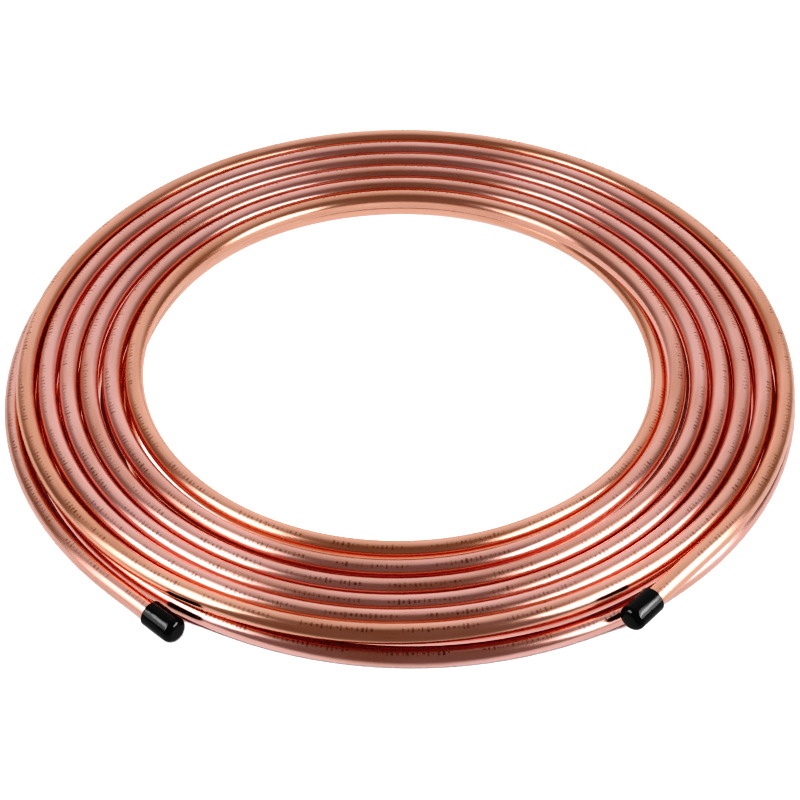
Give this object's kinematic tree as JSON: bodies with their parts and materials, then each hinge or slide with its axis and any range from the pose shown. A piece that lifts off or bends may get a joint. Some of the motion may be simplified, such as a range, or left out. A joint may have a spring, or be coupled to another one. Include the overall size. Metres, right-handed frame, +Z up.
{
  "type": "copper tube coil",
  "caption": "Soft copper tube wound as a flat coil of two layers, with a push-on end cap on each end of the tube.",
  "frame": {"origin": "under the middle of the coil's outline, on the floor that the coil lies on", "axes": "+Z up, along the coil's axis; -Y towards the side where both ends of the tube lie"},
  "size_m": [0.5194, 0.5114, 0.0299],
  "materials": {
    "copper": "bright drawn",
    "black_vinyl": "gloss"
  },
  "bodies": {
    "root": {"copper_tube": "copper", "top_end_cap": "black_vinyl", "bottom_end_cap": "black_vinyl"}
  },
  "joints": []
}
